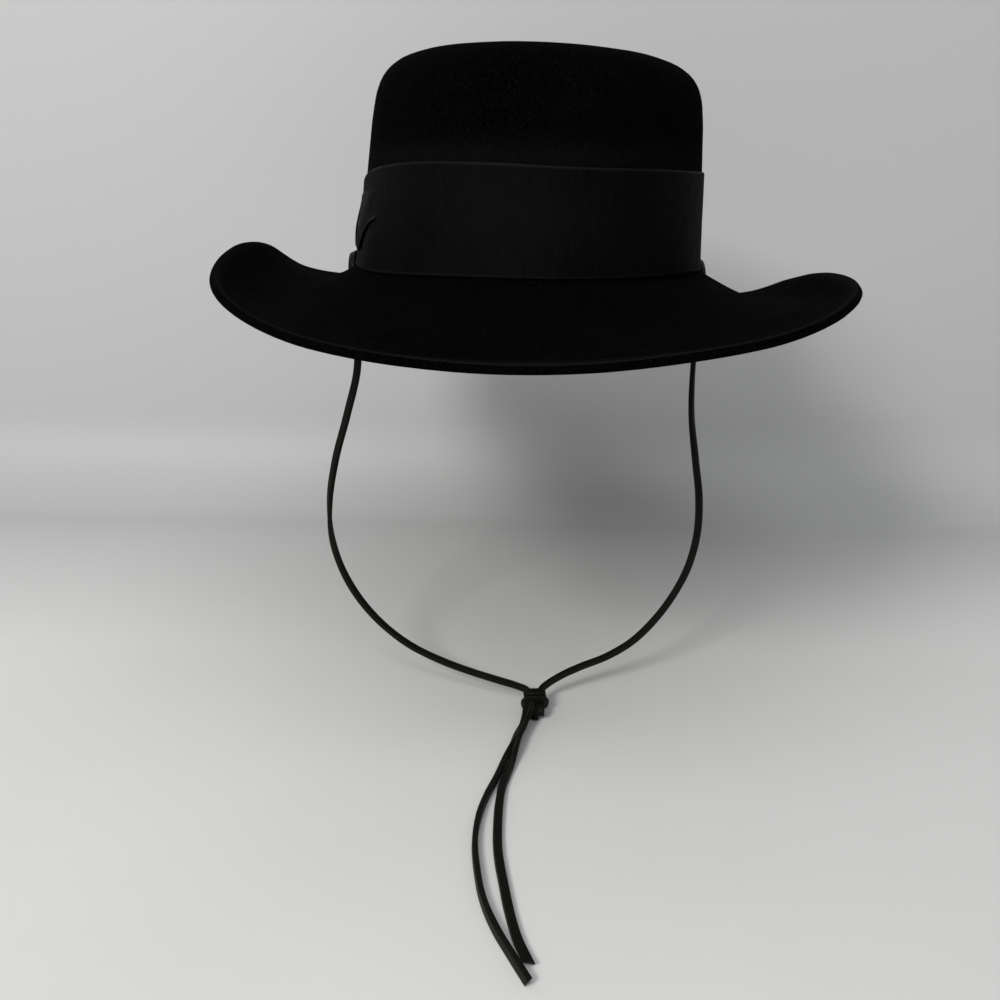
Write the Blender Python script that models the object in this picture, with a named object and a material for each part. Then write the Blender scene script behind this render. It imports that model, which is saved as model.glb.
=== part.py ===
"""Western hat: fur-felt crown and brim, wide ribbon with a flat bow, and a leather chin cord.

Metres, +Z up. The origin is the middle of the head opening, level with the foot of the crown.
-Y is the front of the hat and -X the side with the bow.
"""

import math

import bmesh
import bpy
import numpy as np
from mathutils import Vector

MM = 0.001

# crown
CROWN_WIDTH = 166 * MM
CROWN_LENGTH = 204 * MM
CROWN_HEIGHT = 99 * MM
CROWN_LEAN = 4 * MM
CROWN_TILT = 2.1 * MM
FOOT_RADIUS = 2.5 * MM
FELT_THICKNESS = 3.6 * MM
CROWN_THINNING = 0.62

# brim, flat widths from the crown to the rim
BRIM_LEFT = 60 * MM
BRIM_RIGHT = 63.5 * MM
BRIM_FRONT = 82.5 * MM
BRIM_BACK = 78 * MM
BRIM_FULLNESS = 0.085
BRIM_LIFT = 78 * MM

# ribbon and bow
GAP = 0.3 * MM
RIBBON_THICKNESS = 1.0 * MM
BAND_WIDTH = 44 * MM
BAND_SEAT = 2.7 * MM
BOW_LENGTH = 92 * MM
BOW_SEAT = 8 * MM
BOW_WIDTH = 27 * MM
BOW_PUFF = 2.2 * MM
BOW_STAND = 0.5 * MM
BOW_RIBBON = 0.5 * MM
BOW_TURN = 187
WRAP_WIDTH = 13 * MM

# cord, knot and holes
CORD_DIAMETER = 3.4 * MM
CORD_CLEARANCE = 0.9 * MM
CORD_EASE = 16 * MM
HOLE_REACH = 5.6 * MM
HOLE_PLACE = -2.8 * MM
KNOT_LENGTH = 15 * MM
KNOT_WIDTH = 13.2 * MM
KNOT_HEIGHT = 10.6 * MM
KNOT_PLACE = (7.0 * MM, -75.0 * MM, -207.4 * MM)
KNOT_TURN = 4

# fineness of the faceted shapes
AROUND = 64
BRIM_RINGS = 9
FOOT_RINGS = 3
WALL_ROWS = 4
BOW_POINTS = 16
WRAP_POINTS = 4
ROUTE_POINTS = 84
TAIL_POINTS = 22
KNOT_SIDES = 14
HOLE_SIDES = 16
SMOOTH_UNDER = 35
KNOT_SMOOTH_UNDER = 50

# crown outline from foot to top: height is a share of CROWN_HEIGHT, size of the crown's width and length
CROWN_SECTIONS = [
    # height, size
    (0.12, 1.001),
    (0.26, 0.992),
    (0.41, 0.981),
    (0.57, 0.965),
    (0.72, 0.947),
    (0.81, 0.926),
    (0.865, 0.896),
    (0.910, 0.846),
    (0.944, 0.773),
    (0.966, 0.680),
    (0.981, 0.556),
    (0.992, 0.392),
    (0.998, 0.206),
]

# brim by direction, 0 at +X and 90 at the back: rim height, and slopes at the foot and the rim,
# all as shares of BRIM_LIFT
BRIM_SECTIONS = [
    # turn, rim, foot_slope, rim_slope
    (0, -0.01, -0.42, 0.95),
    (15, -0.11, -0.42, 0.64),
    (30, -0.26, -0.42, 0.37),
    (60, -0.38, -0.38, -0.10),
    (90, -0.36, -0.34, -0.30),
    (120, -0.28, -0.38, -0.10),
    (150, -0.12, -0.42, 0.50),
    (165, 0.07, -0.42, 0.86),
    (180, 0.12, -0.42, 1.15),
    (210, 0.00, -0.40, 0.80),
    (240, -0.18, -0.30, 0.15),
    (270, -0.24, -0.20, -0.20),
    (300, -0.14, -0.30, 0.15),
    (330, 0.02, -0.40, 0.66),
]

# ribbon's upper edge by direction, drawn down towards the bow: high is a share of BAND_WIDTH
BAND_SECTIONS = [
    # turn, high
    (0, 1.00),
    (60, 1.00),
    (120, 1.00),
    (140, 0.98),
    (155, 0.92),
    (170, 0.86),
    (187, 0.85),
    (203, 0.95),
    (218, 1.00),
    (300, 1.00),
]

# bow along its length, front end first: low and high edges are shares of BOW_WIDTH, puff of BOW_PUFF
BOW_SECTIONS = [
    # place, low, high, puff
    (0.00, 0.56, 0.98, 0.70),
    (0.06, 0.36, 1.00, 0.78),
    (0.13, 0.14, 1.01, 0.90),
    (0.22, 0.00, 1.02, 1.00),
    (0.42, 0.07, 0.93, 0.76),
    (0.50, 0.09, 0.91, 0.72),
    (0.58, 0.07, 0.93, 0.76),
    (0.80, -0.02, 1.02, 1.00),
    (1.00, 0.02, 0.98, 0.85),
]

# knot outline along its length: size is a share of KNOT_WIDTH and KNOT_HEIGHT
KNOT_SECTIONS = [
    # place, size
    (0.00, 0.62),
    (0.04, 0.84),
    (0.14, 0.94),
    (0.26, 0.86),
    (0.36, 0.98),
    (0.48, 1.00),
    (0.60, 0.88),
    (0.66, 0.78),
    (0.84, 0.78),
    (0.95, 0.74),
    (1.00, 0.62),
]

# route of the chin cord in millimetres, from the knot up to the right hole, round the back, and down
CHIN_ROUTE = [
    (9.4, -66.6, -206.9),
    (10.8, -63.2, -205.6),
    (14.6, -60.2, -203.6),
    (20.7, -57.2, -201.0),
    (30.8, -52.5, -198.2),
    (44.9, -46.5, -195.0),
    (58.3, -41.0, -188.9),
    (70.9, -35.5, -178.2),
    (80.2, -31.0, -166.4),
    (87.9, -28.0, -150.4),
    (91.6, -25.0, -134.4),
    (91.8, -22.0, -116.1),
    (89.2, -18.0, -95.6),
    (86.2, -13.5, -72.8),
    (86.0, -9.0, -50.2),
    (87.6, -4.6, -26.0),
    (88.6, -2.9, -9.0),
    (88.7, -2.6, -1.0),
    (88.8, 2.2, 4.4),
    (87.8, 10.5, 4.6),
    (86.0, 19.5, 2.5),
    (82.2, 36.2, 1.6),
    (71.7, 60.7, 1.6),
    (56.4, 81.1, 1.6),
    (37.0, 96.0, 1.6),
    (15.3, 104.5, 1.6),
    (0.0, 106.0, 1.6),
    (-15.3, 104.5, 1.6),
    (-37.0, 96.0, 1.6),
    (-56.4, 81.1, 1.6),
    (-71.7, 60.7, 1.6),
    (-82.2, 36.2, 1.6),
    (-86.0, 19.5, 2.0),
    (-87.7, 10.2, 3.9),
    (-88.6, 2.8, 4.0),
    (-88.7, -2.5, -0.4),
    (-88.6, -2.9, -9.0),
    (-86.8, -5.0, -28.0),
    (-86.8, -9.0, -53.2),
    (-92.0, -13.5, -76.0),
    (-98.0, -18.0, -99.0),
    (-101.0, -22.0, -119.6),
    (-100.2, -25.0, -137.9),
    (-95.9, -28.0, -152.4),
    (-87.3, -31.5, -168.1),
    (-75.5, -35.5, -181.2),
    (-59.2, -40.5, -192.5),
    (-42.0, -46.5, -198.6),
    (-24.9, -53.0, -201.9),
    (-10.4, -58.2, -203.9),
    (-2.2, -60.6, -205.2),
    (2.8, -63.0, -206.1),
    (4.4, -66.6, -206.7),
]

# routes of the two free ends on the surface below, in millimetres, from the knot outwards
TAIL_LEFT_ROUTE = [
    (2.4, -83.2, -210.0),
    (1.0, -88.5, -211.6),
    (-0.9, -94.5, -212.2),
    (-2.9, -101.5, -212.2),
    (-6.9, -115.6, -212.2),
    (-11.4, -133.5, -212.2),
    (-15.4, -147.0, -212.2),
    (-18.5, -162.0, -212.2),
    (-19.7, -177.8, -212.2),
    (-18.4, -196.2, -212.2),
    (-15.7, -213.0, -212.2),
    (-10.8, -228.4, -212.2),
    (-5.2, -241.0, -212.2),
    (0.2, -252.6, -212.2),
]
TAIL_RIGHT_ROUTE = [
    (5.0, -83.2, -206.6),
    (3.1, -89.0, -208.0),
    (1.2, -95.5, -208.9),
    (-0.7, -102.5, -209.2),
    (-2.6, -111.5, -209.7),
    (-4.5, -120.5, -211.3),
    (-6.6, -129.5, -212.2),
    (-8.7, -139.0, -212.2),
    (-10.1, -152.0, -212.2),
    (-10.7, -167.6, -212.2),
    (-10.2, -186.9, -212.2),
    (-8.1, -204.5, -212.2),
    (-5.7, -220.7, -212.2),
    (-3.0, -233.1, -212.2),
    (0.5, -243.4, -212.2),
]


def material(name, color, roughness, sheen=0.0):
    made = bpy.data.materials.new(name)
    made.use_nodes = True
    shader = made.node_tree.nodes["Principled BSDF"]
    shader.inputs["Base Color"].default_value = (*color, 1.0)
    shader.inputs["Roughness"].default_value = roughness
    shader.inputs["Metallic"].default_value = 0.0
    shader.inputs["Sheen Weight"].default_value = sheen
    made.diffuse_color = (*color, 1.0)
    return made


def felt_material():
    return material("black_fur_felt", (0.008, 0.008, 0.009), 0.95, 0.3)


def ribbon_material():
    return material("ribbed_ribbon", (0.016, 0.016, 0.017), 0.6)


def leather_material():
    return material("dark_leather_lace", (0.022, 0.018, 0.015), 0.55)


def read_smooth(places, values, at, period=None):
    """Reads a smooth curve through values at places, which may close on itself after a period."""
    places = np.array(places, float)
    values = np.array(values, float)
    if period:
        places = np.concatenate([places[-2:] - period, places, places[:2] + period])
        values = np.concatenate([values[-2:], values, values[:2]])
        at = at % period
    slopes = np.gradient(values, places, axis=0)
    low = int(np.clip(np.searchsorted(places, at, side="right") - 1, 0, len(places) - 2))
    span = places[low + 1] - places[low]
    share = (at - places[low]) / span
    keep = 2 * share**3 - 3 * share**2 + 1
    leave = share**3 - 2 * share**2 + share
    arrive = share**3 - share**2
    start = keep * values[low] + leave * span * slopes[low]
    end = (1 - keep) * values[low + 1] + arrive * span * slopes[low + 1]
    return start + end


def crown_size(height):
    """Share of the foot's width and length that the crown has at a height in metres."""
    rows = [(FOOT_RADIUS / CROWN_HEIGHT, 1.0)] + CROWN_SECTIONS
    heights, sizes = zip(*rows)
    return float(read_smooth(heights, sizes, max(height / CROWN_HEIGHT, heights[0])))


def crown_point(turn, height, out=0.0):
    """Point on the crown wall in a direction, held off it by out."""
    size = crown_size(height)
    share = height / CROWN_HEIGHT
    x = (CROWN_WIDTH / 2 * size + out) * math.cos(turn)
    y = (CROWN_LENGTH / 2 * size + out) * math.sin(turn)
    drop = CROWN_TILT * share**3 * x / (CROWN_WIDTH / 2)
    return Vector((x + CROWN_LEAN * share, y, height - drop))


def brim_height(turn, share):
    """Height of the brim's upper face, with share 0 at the foot of the crown and 1 at the rim."""
    turns = [row[0] for row in BRIM_SECTIONS]
    shapes = [row[1:] for row in BRIM_SECTIONS]
    rim, foot_slope, rim_slope = read_smooth(turns, shapes, math.degrees(turn), 360)
    rise = 3 * share**2 - 2 * share**3
    leave = share**3 - 2 * share**2 + share
    arrive = share**3 - share**2
    return BRIM_LIFT * (rise * rim + leave * foot_slope + arrive * rim_slope)


def brim_point(turn, share):
    """Point on the brim's upper face."""
    foot_x = (CROWN_WIDTH / 2 + FOOT_RADIUS) * math.cos(turn)
    foot_y = (CROWN_LENGTH / 2 + FOOT_RADIUS) * math.sin(turn)
    reach = BRIM_BACK if math.sin(turn) > 0 else BRIM_FRONT
    side = BRIM_RIGHT if math.cos(turn) > 0 else BRIM_LEFT
    fullness = 1 + BRIM_FULLNESS * math.sin(2 * turn) ** 2
    rim_x = (CROWN_WIDTH / 2 + side) * math.cos(turn) * fullness
    rim_y = (CROWN_LENGTH / 2 + reach) * math.sin(turn) * fullness
    x = foot_x + (rim_x - foot_x) * share
    y = foot_y + (rim_y - foot_y) * share
    return Vector((x, y, brim_height(turn, share)))


def foot_point(turn, step):
    """Point on the small hollow curve where the crown meets the brim."""
    angle = math.pi / 2 * step / FOOT_RINGS
    out = FOOT_RADIUS * (1 - math.cos(angle))
    x = (CROWN_WIDTH / 2 + out) * math.cos(turn)
    y = (CROWN_LENGTH / 2 + out) * math.sin(turn)
    return Vector((x, y, FOOT_RADIUS * (1 - math.sin(angle))))


def directions(count=AROUND):
    return [2 * math.pi * step / count for step in range(count)]


def add_object(name, mesh, finish, smooth_under=SMOOTH_UNDER):
    made = bpy.data.objects.new(name, mesh)
    bpy.context.scene.collection.objects.link(made)
    mesh.materials.append(finish)
    mesh.shade_smooth()
    mesh.set_sharp_from_angle(angle=math.radians(smooth_under))
    return made


def join_rings(form, rings, closed_along=False):
    """Faces between neighbouring closed rings of vertices."""
    pairs = list(zip(rings, rings[1:]))
    if closed_along:
        pairs.append((rings[-1], rings[0]))
    for near, far in pairs:
        for here in range(len(near)):
            after = (here + 1) % len(near)
            form.faces.new((near[here], near[after], far[after], far[here]))


def close_end(form, ring, centre, turned):
    """A fan of triangles from a ring to one point."""
    tip = form.verts.new(centre)
    for here in range(len(ring)):
        after = (here + 1) % len(ring)
        corners = (ring[after], ring[here], tip) if turned else (ring[here], ring[after], tip)
        form.faces.new(corners)


def finished_mesh(name, form):
    bmesh.ops.recalc_face_normals(form, faces=form.faces)
    mesh = bpy.data.meshes.new(name)
    form.to_mesh(mesh)
    form.free()
    return mesh


def felt_sheet():
    """Upper face of the felt, from the rim up to the top of the crown, as one open sheet."""
    form = bmesh.new()
    rings = []
    for step in range(BRIM_RINGS, 0, -1):
        rings.append([form.verts.new(brim_point(turn, step / BRIM_RINGS)) for turn in directions()])
    for step in range(FOOT_RINGS, -1, -1):
        rings.append([form.verts.new(foot_point(turn, step)) for turn in directions()])
    for height, _ in CROWN_SECTIONS:
        rings.append([form.verts.new(crown_point(turn, height * CROWN_HEIGHT)) for turn in directions()])
    join_rings(form, rings)
    close_end(form, rings[-1], (CROWN_LEAN, 0, CROWN_HEIGHT), False)
    mesh = bpy.data.meshes.new("felt_body")
    form.normal_update()
    form.to_mesh(mesh)
    form.free()
    return mesh


def cord_hole(side):
    """Cutter for the cord hole through the brim at one side of the crown."""
    radius = CORD_DIAMETER / 2 + CORD_CLEARANCE
    depth = 6 * FELT_THICKNESS
    form = bmesh.new()
    bmesh.ops.create_cone(form, cap_ends=True, segments=HOLE_SIDES, radius1=radius, radius2=radius, depth=depth)
    mesh = finished_mesh("cord_hole", form)
    cutter = bpy.data.objects.new("cord_hole_cutter", mesh)
    bpy.context.scene.collection.objects.link(cutter)
    cutter.location = (side * (CROWN_WIDTH / 2 + HOLE_REACH), HOLE_PLACE, 0)
    cutter.hide_render = True
    cutter.display_type = "WIRE"
    return cutter


def make_felt_body(finish):
    body = add_object("felt_body", felt_sheet(), finish)
    thickness = body.vertex_groups.new(name="thickness")
    for vertex in body.data.vertices:
        on_brim = vertex.index < BRIM_RINGS * AROUND
        thickness.add([vertex.index], 1.0 if on_brim else CROWN_THINNING, "REPLACE")
    wall = body.modifiers.new("felt wall", "SOLIDIFY")
    wall.thickness = FELT_THICKNESS
    wall.offset = -1
    wall.use_even_offset = True
    wall.vertex_group = thickness.name
    for side in (-1, 1):
        hole = body.modifiers.new("cord hole", "BOOLEAN")
        hole.operation = "DIFFERENCE"
        hole.solver = "EXACT"
        hole.object = cord_hole(side)
    return body


def band_height(turn, share):
    """Height of a place on the ribbon, with share 0 at its lower edge and 1 at its upper edge."""
    turns, highs = zip(*BAND_SECTIONS)
    high = float(read_smooth(turns, highs, math.degrees(turn), 360))
    return BAND_SEAT + BAND_WIDTH * high * share


def make_ribbon_band(finish):
    """Closed ribbon round the foot of the crown, held just off the felt."""
    form = bmesh.new()
    shares = [row / WALL_ROWS for row in range(WALL_ROWS + 1)]
    outside = [(share, GAP + RIBBON_THICKNESS) for share in shares]
    inside = [(share, GAP) for share in reversed(shares)]
    rings = []
    for share, out in outside + inside:
        rings.append([
            form.verts.new(crown_point(turn, band_height(turn, share), out)) for turn in directions()
        ])
    join_rings(form, rings, closed_along=True)
    return add_object("ribbon_band", finished_mesh("ribbon_band", form), finish)


def bow_turn(place):
    """Direction of a place along the bow, 0 at its front end and 1 at its back end."""
    middle = math.radians(BOW_TURN)
    reach = BOW_LENGTH / (CROWN_LENGTH / 2)
    return middle + reach * (0.5 - place)


def bow_section(place):
    """Heights of the bow's lower and upper edge at a place along it, and how far its front layer stands off."""
    rows = [row[0] for row in BOW_SECTIONS]
    low, high, puff = read_smooth(rows, [row[1:] for row in BOW_SECTIONS], place)
    return BOW_SEAT + BOW_WIDTH * low, BOW_SEAT + BOW_WIDTH * high, BOW_PUFF * puff


def bow_outline(inset, upper):
    """Points round the loop along its upper or lower edge: out along the front layer, back along the other."""
    base = GAP + RIBBON_THICKNESS + BOW_STAND
    front, back = [], []
    for step in range(BOW_POINTS + 1):
        place = step / BOW_POINTS
        low, high, puff = bow_section(place)
        height = high if upper else low
        end = inset / BOW_LENGTH
        turn = bow_turn(min(max(place, end), 1 - end))
        front.append(crown_point(turn, height, base + puff - inset))
        back.append(crown_point(turn, height, base + inset))
    return front + back[::-1]


def make_bow_loop(finish):
    """Ribbon folded into a flat loop that lies along the band."""
    form = bmesh.new()
    rings = []
    for inset, upper in ((0, False), (0, True), (BOW_RIBBON, True), (BOW_RIBBON, False)):
        rings.append([form.verts.new(place) for place in bow_outline(inset, upper)])
    join_rings(form, rings, closed_along=True)
    return add_object("bow_loop", finished_mesh("bow_loop", form), finish)


def make_bow_wrap(finish):
    """Upright strip over the middle of the bow, turned in to the band above and below it."""
    form = bmesh.new()
    base = GAP + RIBBON_THICKNESS + BOW_STAND
    half = WRAP_WIDTH / BOW_LENGTH / 2
    bow_low, bow_high, puff = bow_section(0.5 + 1.5 * half)
    proud = base + puff + GAP
    low, high = bow_low - GAP, bow_high + GAP
    thick = BOW_RIBBON
    profile = [
        (low, base), (low, proud), (high, proud), (high, base),
        (high + thick, base), (high + thick, proud + thick), (low - thick, proud + thick), (low - thick, base),
    ]
    rings = []
    for step in range(WRAP_POINTS + 1):
        turn = bow_turn(0.5 + half * (2 * step / WRAP_POINTS - 1))
        rings.append([form.verts.new(crown_point(turn, height, out)) for height, out in profile])
    join_rings(form, rings)
    form.faces.new(rings[0])
    form.faces.new(rings[-1])
    return add_object("bow_wrap", finished_mesh("bow_wrap", form), finish)


def smooth_route(points, count):
    """Points on a smooth curve through the given points, in metres, closer together where it turns."""
    points = np.array(points) * MM
    along = np.concatenate([[0], np.cumsum(np.linalg.norm(np.diff(points, axis=0), axis=1))])
    fine = np.array([read_smooth(along, points, at) for at in np.linspace(0, along[-1], count * 12)])
    steps = np.diff(fine, axis=0)
    lengths = np.linalg.norm(steps, axis=1)
    headings = steps / lengths[:, None]
    turns = np.linalg.norm(np.diff(headings, axis=0, prepend=headings[:1]), axis=1)
    reached = np.concatenate([[0], np.cumsum(lengths + CORD_EASE * turns)])
    wanted = np.linspace(0, reached[-1], count)
    return np.stack([np.interp(wanted, reached, fine[:, axis]) for axis in range(3)], axis=1)


def make_cord(name, route, count, finish):
    curve = bpy.data.curves.new(name, "CURVE")
    curve.dimensions = "3D"
    curve.bevel_depth = CORD_DIAMETER / 2
    curve.bevel_resolution = 2
    curve.use_fill_caps = True
    spline = curve.splines.new("POLY")
    places = smooth_route(route, count)
    spline.points.add(len(places) - 1)
    for point, place in zip(spline.points, places):
        point.co = (*place, 1.0)
        point.radius = 1.0
    curve.materials.append(finish)
    made = bpy.data.objects.new(name, curve)
    bpy.context.scene.collection.objects.link(made)
    return made


def make_knot(finish):
    """Wraps of lace round the joined ends, as one ridged barrel lying on its side."""
    form = bmesh.new()
    rings = []
    for place, size in KNOT_SECTIONS:
        wide, high = size * KNOT_WIDTH / 2, size * KNOT_HEIGHT / 2
        rings.append([
            form.verts.new((wide * math.cos(turn), -(place - 0.5) * KNOT_LENGTH, high * math.sin(turn)))
            for turn in directions(KNOT_SIDES)
        ])
    join_rings(form, rings)
    close_end(form, rings[0], (0, KNOT_LENGTH / 2, 0), True)
    close_end(form, rings[-1], (0, -KNOT_LENGTH / 2, 0), False)
    knot = add_object("cord_knot", finished_mesh("cord_knot", form), finish, KNOT_SMOOTH_UNDER)
    knot.location = KNOT_PLACE
    knot.rotation_euler = (0, 0, math.radians(-KNOT_TURN))
    return knot


def main():
    for old in list(bpy.data.objects):
        bpy.data.objects.remove(old, do_unlink=True)
    felt = felt_material()
    ribbon = ribbon_material()
    leather = leather_material()
    make_felt_body(felt)
    make_ribbon_band(ribbon)
    make_bow_loop(ribbon)
    make_bow_wrap(ribbon)
    make_cord("chin_cord", CHIN_ROUTE, ROUTE_POINTS, leather)
    make_cord("cord_tail_left", TAIL_LEFT_ROUTE, TAIL_POINTS, leather)
    make_cord("cord_tail_right", TAIL_RIGHT_ROUTE, TAIL_POINTS, leather)
    make_knot(leather)


main()
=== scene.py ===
"""Looks of the western hat: fur felt, ribbed ribbon and bow, leather lace, floor, light and camera.

Metres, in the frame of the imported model. Routes are in millimetres, as in the part's source.
"""

import math

import bmesh
import bpy
import numpy as np
from mathutils import Matrix, Vector
from mathutils.noise import fractal, noise

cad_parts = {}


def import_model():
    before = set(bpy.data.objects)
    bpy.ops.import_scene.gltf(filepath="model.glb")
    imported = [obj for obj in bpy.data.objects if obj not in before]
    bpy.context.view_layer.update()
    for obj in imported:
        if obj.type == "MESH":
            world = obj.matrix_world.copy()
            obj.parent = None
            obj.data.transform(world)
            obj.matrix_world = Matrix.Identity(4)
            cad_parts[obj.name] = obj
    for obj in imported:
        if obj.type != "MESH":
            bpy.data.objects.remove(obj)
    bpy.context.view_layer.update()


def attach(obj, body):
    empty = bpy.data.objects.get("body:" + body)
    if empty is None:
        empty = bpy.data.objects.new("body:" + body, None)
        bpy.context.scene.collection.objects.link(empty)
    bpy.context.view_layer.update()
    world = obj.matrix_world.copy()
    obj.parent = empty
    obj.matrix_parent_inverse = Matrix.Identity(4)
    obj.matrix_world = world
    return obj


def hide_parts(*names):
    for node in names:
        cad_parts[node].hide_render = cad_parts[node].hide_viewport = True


MM = 0.001
BODY = "root"

# camera of the photograph, in the hat's frame
CAMERA_PLACE = (-12 * MM, -520 * MM, 40 * MM)
CAMERA_DOWN = 17.6
CAMERA_ROLL = 1.0
CAMERA_LENS = 36.0
SURFACE = -214 * MM
WALL_PLACE = 285 * MM
SWEEP_RADIUS = 70 * MM
SWEEP_STEPS = 16
STAGE_SPAN = 2.5

# felt
CROWN_WIDTH = 166 * MM
CROWN_LENGTH = 204 * MM
CROWN_HEIGHT = 99 * MM
CROWN_LEAN = 4 * MM
CROWN_TILT = 2.1 * MM
FOOT_RADIUS = 2.5 * MM
BRIM_THICKNESS = 3.6 * MM
CROWN_THICKNESS = 2.2 * MM
BRIM_LEFT = 60 * MM
BRIM_RIGHT = 63.5 * MM
BRIM_FRONT = 82.5 * MM
BRIM_BACK = 78 * MM
BRIM_FULLNESS = 0.085
BRIM_LIFT = 78 * MM
RIM_ROUNDING = 0.7 * MM
FELT_WAVE = 0.22 * MM
DUST_HEIGHT = 50 * MM
DUST_REACH = 6 * MM
FELT_GRAIN = 0.035 * MM
HOLE_RADIUS = 2.5 * MM
HOLE_SIDE = 88.6 * MM
HOLE_FRONT = -2.8 * MM

# ribbon
RIB_PITCH = 0.85 * MM
RIB_DEPTH = 0.11 * MM
RIBBON_OFF = 0.35 * MM
RIBBON_THICKNESS = 0.75 * MM
SELVEDGE = 0.9 * MM
RIB_STEPS = 4
BAND_SEAT = 2.6 * MM
BAND_WIDTH = 44 * MM
BAND_BULGE = 1.7 * MM
BULGE_TURN = 211
BULGE_SPREAD = 7
BULGE_HEIGHT = 15 * MM
BULGE_REACH = 9 * MM
BOW_LENGTH = 92 * MM
BOW_WIDTH = 27 * MM
BOW_SEAT = 8 * MM
BOW_PUFF = 1.2 * MM
BOW_FOLD = 1.1 * MM
BOW_OFF = 1.55 * MM
BOW_THICKNESS = 0.5 * MM
BOW_SUNK = 0.8 * MM
TOP_SUNK = 0.6
BOW_TURN = 187
WRAP_WIDTH = 13 * MM
WRAP_ROOM = 0.5 * MM
WRAP_TAPER = 0.55
PLEATS = 3
PLEAT_DEPTH = 0.45 * MM
PLEAT_REACH = 12 * MM

# lace
LACE_WIDTH = 3.5 * MM
LACE_THICKNESS = 2.4 * MM
LACE_STEP = 1.1 * MM
LACE_REST = 1.9 * MM
REST_GAP = 0.1 * MM
KNOT_MIDDLE = 7.3
WRAP_FIRST = (-67.8, -206.8)
WRAP_SECOND = (-72.3, -208.8)
WRAP_HIGH = (3.4, 3.7)
WRAP_WIDE = (4.9, 5.3)
KNOT_TILT = 30
KNOT_SQUARE = 0.55
WRAP_LACE = 3.6 * MM
WRAP_LACE_THICKNESS = 1.5 * MM

# fineness
AROUND = 192
BRIM_RINGS = 30
FOOT_RINGS = 5
RIM_STEPS = 4

# crown outline from foot to top, as in the part's source
CROWN_SECTIONS = [
    # height, size
    (0.12, 1.001),
    (0.26, 0.992),
    (0.41, 0.981),
    (0.57, 0.965),
    (0.72, 0.947),
    (0.81, 0.926),
    (0.865, 0.896),
    (0.910, 0.846),
    (0.944, 0.773),
    (0.966, 0.680),
    (0.981, 0.556),
    (0.992, 0.392),
    (0.998, 0.206),
]

# brim by direction, as in the part's source
BRIM_SECTIONS = [
    # turn, rim, foot_slope, rim_slope
    (0, -0.01, -0.42, 0.95),
    (15, -0.11, -0.42, 0.64),
    (30, -0.26, -0.42, 0.37),
    (60, -0.38, -0.38, -0.10),
    (90, -0.36, -0.34, -0.30),
    (120, -0.28, -0.38, -0.10),
    (150, -0.12, -0.42, 0.50),
    (165, 0.07, -0.42, 0.86),
    (180, 0.12, -0.42, 1.15),
    (210, 0.00, -0.40, 0.80),
    (240, -0.18, -0.30, 0.15),
    (270, -0.24, -0.20, -0.20),
    (300, -0.14, -0.30, 0.15),
    (330, 0.02, -0.40, 0.66),
]

# bow along its length, front end first; its lower front corner is drawn up further than in the part's source
BOW_SECTIONS = [
    # place, low, high, puff
    (0.00, 0.57, 0.98, 0.70),
    (0.04, 0.54, 0.99, 0.80),
    (0.08, 0.49, 1.00, 0.95),
    (0.13, 0.39, 1.01, 1.05),
    (0.19, 0.24, 1.01, 1.10),
    (0.26, 0.05, 1.01, 1.05),
    (0.42, 0.07, 0.93, 0.76),
    (0.50, 0.09, 0.91, 0.72),
    (0.58, 0.07, 0.93, 0.76),
    (0.80, -0.02, 1.02, 1.00),
    (1.00, 0.02, 0.98, 0.85),
]

# ribbon's upper edge by direction, as in the part's source
BAND_SECTIONS = [
    # turn, high
    (0, 1.00),
    (60, 1.00),
    (120, 1.00),
    (140, 0.98),
    (155, 0.92),
    (170, 0.86),
    (187, 0.85),
    (203, 0.95),
    (218, 1.00),
    (300, 1.00),
]

# where the ribbon's upper edge sags and stands off the felt, and its lower edge drops and flares, in millimetres
BAND_EDGE = [
    # turn, sag, stand_off, drop, flare
    (0, 0.3, 0.0, 0.8, 0.9),
    (15, 0.1, 0.1, 0.2, 0.1),
    (30, 0.0, 0.1, 0.2, 0.1),
    (70, 0.4, 0.3, 0.0, 0.0),
    (110, 0.2, 0.1, 0.2, 0.1),
    (150, 0.0, 0.1, 0.0, 0.0),
    (190, 0.2, 0.1, 1.2, 2.2),
    (205, 0.1, 0.0, 2.0, 2.2),
    (216, 0.0, 0.0, 2.0, 1.5),
    (228, 0.0, 0.1, 1.4, 0.9),
    (245, 0.2, 0.1, 0.4, 0.2),
    (262, 0.3, 0.4, 0.0, 0.0),
    (272, 0.5, 0.8, 0.0, 0.0),
    (281, 0.4, 0.8, 0.0, 0.0),
    (290, 0.2, 0.4, 0.0, 0.0),
    (300, 0.0, 0.1, 0.1, 0.0),
    (330, 0.2, 0.0, 0.5, 0.2),
    (345, 0.2, 0.0, 1.2, 1.3),
]

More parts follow.
